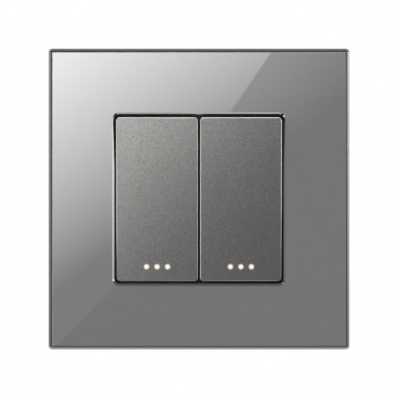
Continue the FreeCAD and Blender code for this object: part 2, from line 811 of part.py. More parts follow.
# Plunger spring: out of sight in the tube, so it is a plain sleeve of the coil's outer and inner size
def make_plunger_spring(name, side):
    body = rocker_body(name, side)
    coil = new_sketch(body, "XZ_Plane", "-bore_start")
    draw_circle(coil, "0", "0", "spring_radius")
    draw_circle(coil, "0", "0", "spring_radius - spring_wire")
    pad(body, coil, "plunger_reach - plunger_length - bore_start - spring_play", reverse=True)


def arm_body(name, side):
    """A body in the frame of a contact arm: its origin on the fulcrum line, leaning top in."""
    return new_body(name, f"{side} * {CELL_X}", f"-{ARM_DEPTH}", "-arm_tilt")


# Contact arm: a copper seesaw that rocks on the nose of the common strip
def make_contact_arm(name, side):
    body = arm_body(name, side)
    outline = new_sketch(body, "XZ_Plane", ARM_SEAT)
    draw_centred(outline, "0", "0", "arm_width", "arm_length")
    blade = pad(body, outline, "arm_thickness")
    chamfer(body, blade, runs_along_y, "arm_corner")


# Contacts: square silver pads, welded to the ends of the arm and to the strips facing them
def make_moving_contacts(name, side):
    body = arm_body(name, side)
    body.AllowCompound = True
    pads = new_sketch(body, "XZ_Plane", ARM_SEAT)
    for up in (-1, 1):
        draw_centred(pads, "0", f"{up} * contact_place", "contact_side", "contact_side")
    pad(body, pads, "contact_height", reverse=True)


def make_fixed_contacts(name, side):
    body = new_body(name)
    body.AllowCompound = True
    pads = new_sketch(body, "XZ_Plane", f"-{STRIP_DEPTH}")
    for up in (-1, 1):
        draw_centred(pads, f"{side} * {CELL_X}", f"{up} * contact_place", "fixed_side", "fixed_side")
    pad(body, pads, "fixed_height")


def add_tab(body, centre, up):
    """The tab of a strip, folded to the back through its clamp cage."""
    tab = new_sketch(body, "XZ_Plane", f"-({STRIP_DEPTH} + tab_length)")
    middle = f"{up} * ({TAB_TOP} - strip_thickness / 2)"
    draw_centred(tab, centre, middle, "strip_width", "strip_thickness")
    folded = pad(body, tab, "tab_length")
    front = -value(STRIP_DEPTH)
    end = value(f"{up} * {TAB_TOP}")

    def outside_fold(edge):
        return runs_along_x(edge) and lies_at(edge, front) and abs(edge.BoundBox.ZMax - end) < 0.001

    fillet(body, folded, outside_fold, "tab_bend")


# Brass strips: each lies on the ledge of its cell, from its contact or fulcrum to its clamp
def make_upper_strip(name, side):
    body = new_body(name)
    centre = f"{side} * {CELL_X}"
    flat = new_sketch(body, "XZ_Plane", f"-{LEDGE_DEPTH}")
    draw_box(
        flat,
        f"{centre} - strip_width / 2",
        f"{centre} + strip_width / 2",
        "contact_place - strip_width / 2",
        TAB_TOP,
    )
    pad(body, flat, "strip_thickness")
    add_tab(body, centre, 1)


def make_lower_strip(name, side):
    body = new_body(name)

    def across(text):
        return f"{side} * ({CELL_X} + {text})"

    inner = "contact_place - strip_width / 2"
    outer = "contact_place + strip_width / 2"
    flat = new_sketch(body, "XZ_Plane", f"-{LEDGE_DEPTH}")
    draw_polygon(
        flat,
        (
            (across("-strip_width / 2"), f"-({inner})"),
            (across("clamp_offset + strip_width / 2"), f"-({inner})"),
            (across("clamp_offset + strip_width / 2"), f"-{TAB_TOP}"),
            (across("clamp_offset - strip_width / 2"), f"-{TAB_TOP}"),
            (across("clamp_offset - strip_width / 2"), f"-({outer})"),
            (across("-strip_width / 2"), f"-({outer})"),
        ),
    )
    pad(body, flat, "strip_thickness")
    add_tab(body, across("clamp_offset"), -1)


def make_common_strip(name, side):
    body = new_body(name)

    def across(text):
        return f"{side} * ({CELL_X} + {text})"

    cradle = "(arm_width / 2 + horn_gap + horn_width)"
    flat = new_sketch(body, "XZ_Plane", f"-{LEDGE_DEPTH}")
    draw_polygon(
        flat,
        (
            (across(cradle), "strip_width / 2"),
            (across(cradle), "-strip_width / 2"),
            (across("-clamp_offset + strip_width / 2"), "-strip_width / 2"),
            (across("-clamp_offset + strip_width / 2"), f"-{TAB_TOP}"),
            (across("-clamp_offset - strip_width / 2"), f"-{TAB_TOP}"),
            (across("-clamp_offset - strip_width / 2"), "strip_width / 2"),
        ),
    )
    pad(body, flat, "strip_thickness")
    add_tab(body, across("-clamp_offset"), -1)

    # The nose is the fulcrum of the arm, and a horn on each side keeps the arm on it
    nose = new_sketch(body, "XZ_Plane", f"-{STRIP_DEPTH}")
    draw_centred(nose, across("0"), "0", "arm_width", "2 * nose_radius")
    post = pad(body, nose, f"{STRIP_DEPTH} - {ARM_DEPTH} + nose_radius")
    tip = value(f"nose_radius - {ARM_DEPTH}")
    fillet(body, post, lambda edge: lies_at(edge, tip) and runs_along_x(edge), "0.9 * nose_radius")
    horns = new_sketch(body, "XZ_Plane", f"-{STRIP_DEPTH}")
    for place in (-1, 1):
        middle = across(f"{place} * (arm_width / 2 + horn_gap + horn_width / 2)")
        draw_centred(horns, middle, "0", "horn_width", "2 * nose_radius")
    pad(body, horns, f"{STRIP_DEPTH} - {ARM_DEPTH} + {ARM_SEAT} + arm_thickness")


def clamp_place(side, step):
    """The place of a clamp across the front."""
    return f"{side} * ({CELL_X} + {step} * clamp_offset)"


# Clamp cages: bent steel sleeves round each tab, with the wire space inside the tab
def make_clamp_cages(name, side):
    body = new_body(name)
    body.AllowCompound = True
    sleeves = new_sketch(body, "XZ_Plane", f"-({CAGE_DEPTH} + cage_length)")
    for step, up in CLAMPS:
        middle = f"{up} * ({CAGE_TOP} - cage_height / 2)"
        draw_centred(sleeves, clamp_place(side, step), middle, "cage_width", "cage_height")
        draw_centred(
            sleeves,
            clamp_place(side, step),
            middle,
            "cage_width - 2 * cage_wall",
            "cage_height - 2 * cage_wall",
        )
    pad(body, sleeves, "cage_length")
    for up in (-1, 1):
        holes = new_sketch(body, "XY_Plane", f"{up} * {CAGE_TOP}")
        for step, way in CLAMPS:
            if way == up:
                depth = f"{CAGE_DEPTH} + cage_length / 2"
                draw_circle(holes, clamp_place(side, step), depth, "clamp_screw_radius + clamp_screw_fit")
        pocket(body, holes, "cage_wall", forward=up < 0)


# Terminal screws: each bears on its tab and pulls the cage outward
def make_terminal_screws(name, side):
    body = new_body(name)
    body.AllowCompound = True
    depth = f"{CAGE_DEPTH} + cage_length / 2"
    for up in (-1, 1):
        shafts = new_sketch(body, "XY_Plane", f"{up} * {TAB_TOP}")
        heads = new_sketch(body, "XY_Plane", f"{up} * ({CAGE_TOP} + head_gap)")
        for step, way in CLAMPS:
            if way == up:
                draw_circle(shafts, clamp_place(side, step), depth, "clamp_screw_radius")
                draw_circle(heads, clamp_place(side, step), depth, "clamp_head_radius")
        pad(body, shafts, f"{CAGE_TOP} + head_gap - {TAB_TOP}", reverse=up < 0)
        pad(body, heads, "clamp_head_height", reverse=up < 0)


# Indicator: a small board on the deck behind the dots, its LEDs and the leads down to the strips
def make_indicator_board(name, side):
    body = new_body(name)
    outline = new_sketch(body, "XZ_Plane", DECK_FRONT)
    draw_box(
        outline,
        f"{side} * {CAP_X} - ({CAP_WIDTH} / 2 - board_inset)",
        f"{side} * {CAP_X} + ({CAP_WIDTH} / 2 - board_inset)",
        f"-{DOT_DROP} - board_below",
        f"-{LEAD_Z} + board_lap",
    )
    pad(body, outline, "board_thickness")


def make_indicator_leds(name, side):
    body = new_body(name)
    body.AllowCompound = True
    outline = new_sketch(body, "XZ_Plane", f"{DECK_FRONT} + board_thickness")
    for step in (-1, 0, 1):
        place = f"{side} * {CAP_X} + {step} * dot_pitch"
        draw_centred(outline, place, f"-{DOT_DROP}", "led_width", "led_depth")
    pad(body, outline, "led_height")


def make_indicator_leads(name, side):
    body = new_body(name)
    body.AllowCompound = True
    ends = new_sketch(body, "XZ_Plane", f"-{STRIP_DEPTH}")
    for step in (-1, 1):
        draw_centred(ends, clamp_place(side, step), f"-{LEAD_Z}", "lead_width", "lead_width")
    pad(body, ends, f"{STRIP_DEPTH} + {DECK_FRONT}")


make_glass_panel()
make_panel_carrier()
make_mounting_bridge()
make_housing()
make_front_deck()
make_deck_screws()
for gang, gang_side in GANGS:
    make_rocker_cap(f"{gang}_rocker_cap", gang_side)
    make_light_guide(f"{gang}_light_guide", gang_side)
    make_rocker_yoke(f"{gang}_rocker_yoke", gang_side)
    make_plunger(f"{gang}_plunger", gang_side)
    make_plunger_spring(f"{gang}_plunger_spring", gang_side)
    make_contact_arm(f"{gang}_contact_arm", gang_side)
    make_moving_contacts(f"{gang}_moving_contacts", gang_side)
    make_fixed_contacts(f"{gang}_fixed_contacts", gang_side)
    make_upper_strip(f"{gang}_upper_strip", gang_side)
    make_lower_strip(f"{gang}_lower_strip", gang_side)
    make_common_strip(f"{gang}_common_strip", gang_side)
    make_clamp_cages(f"{gang}_clamp_cages", gang_side)
    make_terminal_screws(f"{gang}_terminal_screws", gang_side)
    make_indicator_board(f"{gang}_indicator_board", gang_side)
    make_indicator_leds(f"{gang}_indicator_leds", gang_side)
    make_indicator_leads(f"{gang}_indicator_leads", gang_side)

doc.recompute()
for item in doc.Objects:
    if "Invalid" in item.State or "Error" in item.State:
        raise RuntimeError(f"{item.Name} ({item.Label}) failed: {item.State}")
for item in subparts:
    if item.Shape.isNull() or not item.Shape.isValid():
        raise RuntimeError(f"{item.Label} has no sound shape")

os.makedirs("parts", exist_ok=True)
for item in subparts:
    item.Shape.exportStep(f"parts/{item.Label}.step")
    print(item.Label, len(item.Shape.Solids), round(item.Shape.Volume, 1))
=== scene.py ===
import json
import math

import bmesh
import bpy
import numpy as np
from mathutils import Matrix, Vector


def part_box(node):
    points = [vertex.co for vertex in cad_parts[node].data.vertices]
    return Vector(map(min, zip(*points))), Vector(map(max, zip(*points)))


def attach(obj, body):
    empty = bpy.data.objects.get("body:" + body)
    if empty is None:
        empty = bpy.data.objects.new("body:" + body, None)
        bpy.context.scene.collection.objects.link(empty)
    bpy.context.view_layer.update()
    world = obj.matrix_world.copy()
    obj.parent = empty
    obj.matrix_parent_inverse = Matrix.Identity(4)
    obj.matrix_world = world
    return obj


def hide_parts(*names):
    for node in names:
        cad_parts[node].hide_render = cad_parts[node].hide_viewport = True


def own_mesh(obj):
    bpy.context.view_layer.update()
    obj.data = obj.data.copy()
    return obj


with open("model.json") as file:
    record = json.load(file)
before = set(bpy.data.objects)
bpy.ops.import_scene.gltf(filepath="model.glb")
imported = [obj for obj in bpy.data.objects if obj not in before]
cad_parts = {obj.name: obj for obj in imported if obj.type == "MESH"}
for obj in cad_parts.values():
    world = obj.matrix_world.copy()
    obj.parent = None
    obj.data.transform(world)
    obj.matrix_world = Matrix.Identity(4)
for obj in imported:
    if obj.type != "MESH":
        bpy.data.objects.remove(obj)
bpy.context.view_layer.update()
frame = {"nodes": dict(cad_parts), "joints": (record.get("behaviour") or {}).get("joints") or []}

# Double two-way light switch: a square grey glass panel round two satin rockers, each with
# three lit dots. X runs to the right, Z runs up and the front looks along -Y, in metres.

scene = bpy.context.scene
MM = 0.001


# Camera
# A long lens stands straight in front of the panel and level with it, a hair below and to the
# right of its centre. The square frame takes in 114 mm at the face of the glass.
VIEW_WIDTH = 114.19 * MM
CAMERA_DISTANCE = 0.9
CAMERA_RIGHT = 0.285 * MM
CAMERA_BELOW = 0.27 * MM
panel_low, panel_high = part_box("glass_panel")
glass_face = panel_low[1]

camera = bpy.data.objects.new("camera", bpy.data.cameras.new("camera"))
camera.data.sensor_width = 36.0
camera.data.lens = camera.data.sensor_width * CAMERA_DISTANCE / VIEW_WIDTH
camera.location = (CAMERA_RIGHT, glass_face - CAMERA_DISTANCE, -CAMERA_BELOW)
camera.rotation_euler = (math.radians(90), 0, 0)
scene.collection.objects.link(camera)
scene.camera = camera
scene.view_settings.view_transform = "Standard"


# Studio
# White surroundings, a pale floor below the switch and three soft lamps. Only the upper side of
# the floor is painted, so that the switch can be looked at from below as well.
def linear(code):
    """The linear colour of an sRGB hex code, with full opacity."""
    channels = np.array([int(code[place : place + 2], 16) for place in (1, 3, 5)]) / 255
    low = channels / 12.92
    high = ((channels + 0.055) / 1.055) ** 2.4
    return (*np.where(channels <= 0.04045, low, high), 1.0)


def add(tree, kind, inputs=None, **settings):
    """Adds a node with its settings. An input is given a number, a colour or another node's output."""
    node = tree.nodes.new("ShaderNode" + kind)
    for name, setting in settings.items():
        setattr(node, name, setting)
    for name, given in (inputs or {}).items():
        if isinstance(given, bpy.types.NodeSocket):
            tree.links.new(given, node.inputs[name])
        else:
            node.inputs[name].default_value = given
    return node


def new_material(name):
    """An empty node material and its tree."""
    material = bpy.data.materials.new(name)
    material.use_nodes = True
    material.node_tree.nodes.clear()
    return material, material.node_tree


def grid_faces(rows, columns, wrap_rows=False, wrap_columns=False):
    """The quads of a grid of points, as index rows. A wrapped way joins its last line to its first."""
    row = np.arange(rows if wrap_rows else rows - 1)
    column = np.arange(columns if wrap_columns else columns - 1)
    r, c = np.meshgrid(row, column, indexing="ij")
    r_next = (r + 1) % rows
    c_next = (c + 1) % columns
    corners = (r * columns + c, r * columns + c_next, r_next * columns + c_next, r_next * columns + c)
    return np.stack(corners, axis=-1).reshape(-1, 4)


def new_piece(name, points, faces, material):
    """A smooth mesh object from an array of points in metres and an array of faces."""
    mesh = bpy.data.meshes.new(name)
    mesh.from_pydata(points.reshape(-1, 3).tolist(), [], faces.tolist())
    mesh.polygons.foreach_set("use_smooth", np.full(len(mesh.polygons), True))
    mesh.materials.append(material)
    mesh.update()
    piece = bpy.data.objects.new(name, mesh)
    scene.collection.objects.link(piece)
    return piece


# Plain white stands behind the switch and in what its metal and glass mirror. For everything
# else the surroundings give a weaker, even light.
SOFT_LIGHT = 0.5
world = bpy.data.worlds.new("white studio")
scene.world = world
world.use_nodes = True
tree = world.node_tree
tree.nodes.clear()
ray = add(tree, "LightPath")
seen = add(
    tree,
    "Math",
    {0: ray.outputs["Is Camera Ray"], 1: ray.outputs["Is Transmission Ray"]},
    operation="MAXIMUM",
)
seen_or_mirrored = add(
    tree,
    "Math",
    {0: seen.outputs[0], 1: ray.outputs["Is Glossy Ray"]},
    operation="MAXIMUM",
)
surroundings = add(
    tree,
    "MixShader",
    {
        0: seen_or_mirrored.outputs[0],
        1: add(tree, "Background", {"Strength": SOFT_LIGHT}).outputs[0],
        2: add(tree, "Background", {"Color": (1, 1, 1, 1), "Strength": 1.0}).outputs[0],
    },
)
add(tree, "OutputWorld", {"Surface": surroundings.outputs[0]})

# The floor is painted matt white with a faint mottle. The noise lies on the floor's own box,
# which is two radii wide, and the polished glass doesn't mirror the floor.
FLOOR_DROP = 118 * MM
FLOOR_RADIUS = 0.85
FLOOR_MOTTLE = 28.3 * MM
FLOOR_RINGS = 12
FLOOR_SPOKES = 96
floor_paint, tree = new_material("matt white studio floor")
mottle = add(tree, "TexNoise", {"Scale": 2 * FLOOR_RADIUS / FLOOR_MOTTLE, "Detail": 3.0})
tint = add(
    tree,
    "Mix",
    {"Factor": mottle.outputs["Fac"], "A": linear("#F2F2F0"), "B": linear("#F6F6F5")},
    data_type="RGBA",
)
matt = add(tree, "BsdfPrincipled", {"Base Color": tint.outputs["Result"], "Roughness": 0.8})
one_way = add(
    tree,
    "MixShader",
    {
        0: add(tree, "NewGeometry").outputs["Backfacing"],
        1: matt.outputs[0],
        2: add(tree, "BsdfTransparent").outputs[0],
    },
)
add(tree, "OutputMaterial", {"Surface": one_way.outputs[0]})
turn = np.linspace(2 * math.pi, 0, FLOOR_SPOKES, endpoint=False)
reach = np.linspace(0, FLOOR_RADIUS, FLOOR_RINGS)[:, None]
level = np.full((FLOOR_RINGS, FLOOR_SPOKES), -FLOOR_DROP)
disc = np.stack((reach * np.cos(turn), reach * np.sin(turn), level), axis=-1)
floor = new_piece("floor", disc, grid_faces(FLOOR_RINGS, FLOOR_SPOKES, wrap_columns=True), floor_paint)
floor.visible_glossy = False


def soft_lamp(name, place, size, watts):
    """A square lamp that looks at the middle of the switch."""
    data = bpy.data.lights.new(name, "AREA")
    data.shape = "SQUARE"
    data.size = size
    data.energy = watts
    lamp = bpy.data.objects.new(name, data)
    x, y, z = place
    lamp.location = place
    lamp.rotation_euler = (math.atan2(math.hypot(x, y), z), 0, math.atan2(y, x) + math.pi / 2)
    scene.collection.objects.link(lamp)


soft_lamp("key softbox", place=(-0.45, -0.75, 0.65), size=0.5, watts=5.0)
soft_lamp("fill softbox", place=(0.75, -0.6, 0.1), size=0.6, watts=2.2)
soft_lamp("rear softbox", place=(0.1, 0.9, 0.5), size=0.6, watts=3.0)


# Housing
# The deep box behind the wall plane: off-white polyamide, injection moulded in one piece with the
# two cells, the terminal pockets and the wire mouths. Its flange lies on the mounting bridge.

# A CAD node's mesh is loose triangles. Points nearer than DOUBLES are merged, slivers thinner than
# SLIVER go, faces within FLAT_ANGLE become one, and edges past SHARP_ANGLE are crisp or eased.
DOUBLES = 0.0005 * MM
SLIVER = 0.002 * MM
FLAT_ANGLE = math.radians(1.0)
SHARP_ANGLE = math.radians(35.0)


def merged_copy(node, body, material, ease=0.0):
    """A copy of a CAD node with its points merged, its flats joined and its edges eased by ease mm."""
    mesh = frame["nodes"][node].data.copy()
    mesh.name = node + "_surface"
    work = bmesh.new()
    work.from_mesh(mesh)
    bmesh.ops.remove_doubles(work, verts=work.verts, dist=DOUBLES)
    bmesh.ops.dissolve_degenerate(work, edges=work.edges, dist=SLIVER)
    bmesh.ops.dissolve_limit(work, angle_limit=FLAT_ANGLE, verts=work.verts, edges=work.edges)
    work.to_mesh(mesh)
    work.free()
    mesh.polygons.foreach_set("use_smooth", np.full(len(mesh.polygons), True))
    mesh.set_sharp_from_angle(angle=SHARP_ANGLE)
    mesh.materials.clear()
    mesh.materials.append(material)
    mesh.update()
    piece = bpy.data.objects.new(node + "_finish", mesh)
    scene.collection.objects.link(piece)
    if ease:
        rounding = piece.modifiers.new("eased edges", "BEVEL")
        rounding.width = ease * MM
        rounding.segments = 2
        rounding.limit_method = "ANGLE"
        rounding.angle_limit = SHARP_ANGLE
        rounding.use_clamp_overlap = False
        rounding.harden_normals = True
    else:
        even = piece.modifiers.new("even shading", "WEIGHTED_NORMAL")
        even.keep_sharp = True
    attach(piece, body)
    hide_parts(node)
    return piece


FLOW_CLOUD = 8.33 * MM


def mottled(tree, size, dark, light, detail=2.0):
    """Noise in patches of size, and the colour that drifts with it between two tones."""
    place = add(tree, "TexCoord")
    noise = add(tree, "TexNoise", {"Vector": place.outputs["Object"], "Scale": 1 / size, "Detail": detail})
    tone = add(
        tree,
        "Mix",
        {"Factor": noise.outputs["Fac"], "A": linear(dark), "B": linear(light)},
        data_type="RGBA",
    )
    return noise.outputs["Fac"], tone.outputs["Result"]


def moulded(name, dark, light, roughness, grain_mm=0.25):
    """Moulded plastic: clouds where it flowed, in its colour and its gloss, and the fine grain of
    the mould, of grain_mm, which breaks up its sheen."""
    plastic, tree = new_material(name)
    flow, tone = mottled(tree, FLOW_CLOUD, dark, light, detail=4.0)
    place = add(tree, "TexCoord")
    grain = add(tree, "TexNoise", {"Vector": place.outputs["Object"], "Scale": 1 / (grain_mm * MM)})
    sheen = add(
        tree,
        "MapRange",
        {"Value": flow, "To Min": roughness - 0.06, "To Max": roughness + 0.06},
    )
    bump = add(tree, "Bump", {"Strength": 0.25, "Distance": 0.02 * MM, "Height": grain.outputs["Fac"]})
    surface = add(
        tree,
        "BsdfPrincipled",
        {
            "Base Color": tone,
            "Roughness": sheen.outputs["Result"],
            "IOR": 1.5,
            "Normal": bump.outputs[0],
        },
    )
    add(tree, "OutputMaterial", {"Surface": surface.outputs[0]})
    return plastic


# Polyamide from a finely eroded mould: a warm off-white with a soft, even sheen
offwhite = moulded("off-white moulded polyamide", "#E2E1DB", "#EBEAE5", roughness=0.42)
merged_copy("housing", "base", offwhite, ease=0.12)


# Mounting bridge
# The square steel frame that is screwed to the wall box, stamped from 1.2 mm sheet and folded
# round the housing. Zinc plating keeps it from rusting.
def metal(name, dark, light, roughness, patch_mm=2.0, wear_mm=0.2, squeeze=(1, 1, 1)):
    """A metal with patches of patch_mm in its colour and fine marks of wear_mm in its gloss. The
    marks are squeezed by a factor along each axis, which draws them out the other way as rolling does."""
    plated, tree = new_material(name)
    tone = mottled(tree, patch_mm * MM, dark, light, detail=5.0)[1]
    place = add(tree, "TexCoord")
    rolled = add(tree, "Mapping", {"Vector": place.outputs["Object"], "Scale": squeeze})
    marks = add(
        tree,
        "TexNoise",
        {"Vector": rolled.outputs["Vector"], "Scale": 1 / (wear_mm * MM), "Detail": 6.0},
    )
    gloss = add(
        tree,
        "MapRange",
        {"Value": marks.outputs["Fac"], "To Min": roughness - 0.1, "To Max": roughness + 0.1},
    )
    bump = add(tree, "Bump", {"Strength": 0.15, "Distance": 0.01 * MM, "Height": marks.outputs["Fac"]})
    surface = add(
        tree,
        "BsdfPrincipled",
        {
            "Base Color": tone,
            "Metallic": 1.0,
            "Roughness": gloss.outputs["Result"],
            "Normal": bump.outputs[0],
        },
    )
    add(tree, "OutputMaterial", {"Surface": surface.outputs[0]})
    return plated


# Zinc plating on cold-rolled sheet: a pale blue-grey, slightly patchy, with the streaks of rolling
zinc = metal(
    "zinc-plated sheet steel",
    "#A9ADB2",
    "#C2C4C4",
    roughness=0.34,
    patch_mm=6.0,
    wear_mm=0.5,
    squeeze=(6, 1, 1),
)
merged_copy("mounting_bridge", "base", zinc, ease=0.1)


# Strips and fixed contacts
# Three rolled brass strips a gang carry the current from the clamps to the contacts, and the
# outer two end in square pads of silver, which stay bright and take the arcs.

# Rolled brass, left bare: a warm yellow with streaks along the strip
brass = metal(
    "rolled brass strip",
    "#C2A05A",
    "#D3B36C",
    roughness=0.32,
    patch_mm=4.0,
    wear_mm=0.3,
    squeeze=(1, 6, 1),
)
# Silver, coined in a polished die: nearly white, with a brighter and more even gloss
silver = metal("coined silver contact", "#C9C8C4", "#DDDCD8", roughness=0.25)
for gang in ("left", "right"):
    for strip in ("upper", "lower", "common"):
        merged_copy(f"{gang}_{strip}_strip", "base", brass, ease=0.06)
    merged_copy(f"{gang}_fixed_contacts", "base", silver, ease=0.1)


# Clamp cages
# Each strip ends in a square sleeve of zinc-plated steel, folded from sheet, which the terminal
# screw pulls up to grip the wire.
for gang in ("left", "right"):
    merged_copy(f"{gang}_clamp_cages", "base", zinc, ease=0.12)


# Terminal screws
# Three slotted screws a gang, one up and two down, each turned in the wall of its cage. They are
# cold-headed steel with a rolled M3 thread, bright zinc plated.
CLAMP_SCREW = 1.5 * MM
CLAMP_HEAD = 2.4 * MM
CLAMP_HEAD_HEIGHT = 1.5 * MM
CLAMP_SCREW_LENGTH = 3.5 * MM
CLAMP_STEP = 4.2 * MM


def screw_head(top, foot, height, slot_width, slot_depth, steps=25):
    """A slotted head along Z with its face at z = 0. Each row of points runs along the slot, and at
    distance d from the axis it reaches the root of radius squared less d squared to both sides. The
    foot of the outer rows rises along the cone, and the two middle rows lie slot_depth deep."""
    chord = top * np.sin(np.linspace(-math.pi / 2, math.pi / 2, steps))
    slot = slot_width / 2
    across = np.concatenate((chord[chord < -slot], [-slot, -slot, slot, slot], chord[chord > slot]))
    face = np.zeros_like(across)
    middle = len(across) // 2
    face[middle - 1 : middle + 1] = -slot_depth
    half_top = np.sqrt(np.clip(top**2 - across**2, 0, None))
    half_foot = np.sqrt(np.clip(foot**2 - across**2, 0, None))
    half_face = half_top + (half_top - half_foot) * face / height
    cone = np.clip((np.abs(across) - foot) / max(top - foot, 0.01 * MM), 0, 1)
    under = -height * (1 - cone)
    x = np.stack((-half_face, -half_foot, half_foot, half_face), axis=-1)
    z = np.stack((face, under, under, face), axis=-1)
    points = np.stack((x, np.broadcast_to(across[:, None], x.shape), z), axis=-1)
    return points, grid_faces(len(across), 4, wrap_columns=True)


def threaded_shank(radius, start, end, pitch, depth, steps_a_pitch=8, columns=28):
    """A thread along Z from z = -start to z = -end. The radius lies below its crest by depth times
    one less a triangle wave, which repeats with each pitch of height and winds back once a turn.
    The tip narrows, and both ends close at the axis."""
    rows = int((end - start) / pitch * steps_a_pitch)
    height = np.linspace(start, end, rows)[:, None]
    turn = np.linspace(0, 2 * math.pi, columns, endpoint=False)[None, :]
    wave = 2 * np.abs((height / pitch - turn / (2 * math.pi)) % 1 - 0.5)
    tip = np.clip((end - height) / (2 * depth), 0.5, 1)
    size = (radius - depth * (1 - wave)) * tip
    size = np.concatenate((np.zeros((1, columns)), size, np.zeros((1, columns))))
    height = np.concatenate((height[:1], height, height[-1:])) + 0 * size
    points = np.stack((size * np.cos(turn), size * np.sin(turn), -height), axis=-1)
    return points, grid_faces(rows + 2, columns, wrap_columns=True)


def closed_piece(name, forms, material, sharp=30.0):
    """One mesh from several forms, each a grid of points with its faces. Its doubles are merged, its
    normals point outward, and an edge is crisp where it turns by more than sharp degrees."""
    first_index = np.cumsum([0] + [points.size // 3 for points, faces in forms])
    all_points = np.concatenate([points.reshape(-1, 3) for points, faces in forms])
    all_faces = np.concatenate([faces + first for (points, faces), first in zip(forms, first_index)])
    piece = new_piece(name, all_points, all_faces, material)
    work = bmesh.new()
    work.from_mesh(piece.data)
    bmesh.ops.remove_doubles(work, verts=work.verts, dist=0.002 * MM)
    bmesh.ops.recalc_face_normals(work, faces=work.faces)
    work.to_mesh(piece.data)
    work.free()
    piece.data.set_sharp_from_angle(angle=math.radians(sharp))
    return piece


# Bright zinc on cold-headed steel: smoother, paler and more even than on the sheet
bright_zinc = metal("bright zinc screw steel", "#B6B9BD", "#CFD0D0", roughness=0.26)
clamp_forms = (
    screw_head(
        top=CLAMP_HEAD,
        foot=CLAMP_HEAD,
        height=CLAMP_HEAD_HEIGHT,
        slot_width=0.8 * MM,
        slot_depth=0.7 * MM,
    ),
    threaded_shank(
        radius=CLAMP_SCREW,
        start=CLAMP_HEAD_HEIGHT,
        end=CLAMP_SCREW_LENGTH,
        pitch=0.5 * MM,
        depth=0.25 * MM,
    ),
)
for gang in ("left", "right"):
    low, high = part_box(f"{gang}_terminal_screws")
    middle_x = (low[0] + high[0]) / 2
    middle_y = (low[1] + high[1]) / 2
    forms = []
    for step, up in ((0, 1), (1, -1), (-1, -1)):
        for points, faces in clamp_forms:
            x = middle_x + step * CLAMP_STEP + points[..., 0]
            y = middle_y + up * points[..., 1]
            z = up * (high[2] + points[..., 2])
            forms.append((np.stack((x, y, z), axis=-1), faces))
    piece = closed_piece(f"{gang}_slotted_terminal_screws", forms, bright_zinc)
    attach(piece, "base")
    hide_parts(f"{gang}_terminal_screws")


# Contact arms and moving contacts
# A gang's seesaw: an arm of rolled copper, with a silver pad riveted to the back of each end. It
# rocks on the horns of the common strip and bridges it to the one or the other outer strip.

# Rolled copper, left bare: a red brown with streaks along the arm
copper = metal(
    "rolled copper arm",
    "#B87352",
    "#C98462",
    roughness=0.34,
    patch_mm=4.0,
    wear_mm=0.3,
    squeeze=(1, 1, 6),
)
for gang in ("left", "right"):
    merged_copy(f"{gang}_contact_arm", f"{gang}_arm", copper, ease=0.1)
    merged_copy(f"{gang}_moving_contacts", f"{gang}_arm", silver, ease=0.1)


# Front deck
# The lid of the housing, moulded in black polycarbonate with the four ears that carry the
# rockers. It closes the cells and takes the light out of the gaps round the caps.

# Black polycarbonate with a fine grain: next to no light comes back from it
black = moulded("black moulded polycarbonate", "#0B0B0B", "#101010", roughness=0.5)
merged_copy("front_deck", "base", black, ease=0.08)


# Deck screws
# Two countersunk screws at opposite corners draw deck, housing and bridge together. They cut
# their own coarse thread in the bosses of the housing.
DECK_HEAD = 1.9 * MM
DECK_SHANK = 1.1 * MM
DECK_SCREW_LENGTH = 5.4 * MM
deck_forms = (
    screw_head(
        top=DECK_HEAD,
        foot=DECK_SHANK,
        height=DECK_HEAD - DECK_SHANK,
        slot_width=0.5 * MM,
        slot_depth=0.45 * MM,
    ),
    threaded_shank(
        radius=DECK_SHANK,
        start=DECK_HEAD - DECK_SHANK,
        end=DECK_SCREW_LENGTH,
        pitch=0.8 * MM,
        depth=0.3 * MM,
    ),
)
low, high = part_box("deck_screws")
corner_x = high[0] - DECK_HEAD
corner_z = high[2] - DECK_HEAD
forms = []
for side in (-1, 1):
    for points, faces in deck_forms:
        x = side * corner_x + points[..., 0]
        y = low[1] - points[..., 2]
        z = -side * corner_z + points[..., 1]
        forms.append((np.stack((x, y, z), axis=-1), faces))
piece = closed_piece("slotted_deck_screws", forms, bright_zinc)
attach(piece, "base")
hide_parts("deck_screws")


# Indicator boards
# A small green circuit board lies under the lower end of each cap, with three white diodes for
# the lit dots. Two tinned leads drop from it through the deck to the strips.

# Solder mask on glass laminate: a glossy green in which the glass cloth shows faintly. Its
# threads are too fine to show and are drawn a little coarser.
GLASS_CLOTH = 0.833 * MM
solder_mask, tree = new_material("green solder mask on glass laminate")
weave, green = mottled(tree, GLASS_CLOTH, "#1E5B36", "#277043")
cloth = add(tree, "Bump", {"Strength": 0.2, "Distance": 0.01 * MM, "Height": weave})
lacquered = add(
    tree,
    "BsdfPrincipled",
    {"Base Color": green, "Roughness": 0.35, "IOR": 1.5, "Normal": cloth.outputs[0]},
)
add(tree, "OutputMaterial", {"Surface": lacquered.outputs[0]})

# Cast resin with phosphor: a soft cream yellow, as an unlit white diode has
diode = moulded("phosphor resin of the diodes", "#EFE9C8", "#F6F1D6", roughness=0.35, grain_mm=0.15)
# Tinned spring wire: a light grey with a soft gloss
tinned = metal("tinned spring wire", "#A3A5A6", "#B9BABA", roughness=0.3)
for gang in ("left", "right"):
    merged_copy(f"{gang}_indicator_board", "base", solder_mask, ease=0.04)
    merged_copy(f"{gang}_indicator_leds", "base", diode, ease=0.1)
    merged_copy(f"{gang}_indicator_leads", "base", tinned, ease=0.1)


# Rocker yokes
# The saddle under each cap, moulded in the black polycarbonate of the deck: two trunnions that
# turn in its ears, and a tube that holds the plunger and its spring.
for gang in ("left", "right"):
    merged_copy(f"{gang}_rocker_yoke", f"{gang}_rocker", black, ease=0.1)


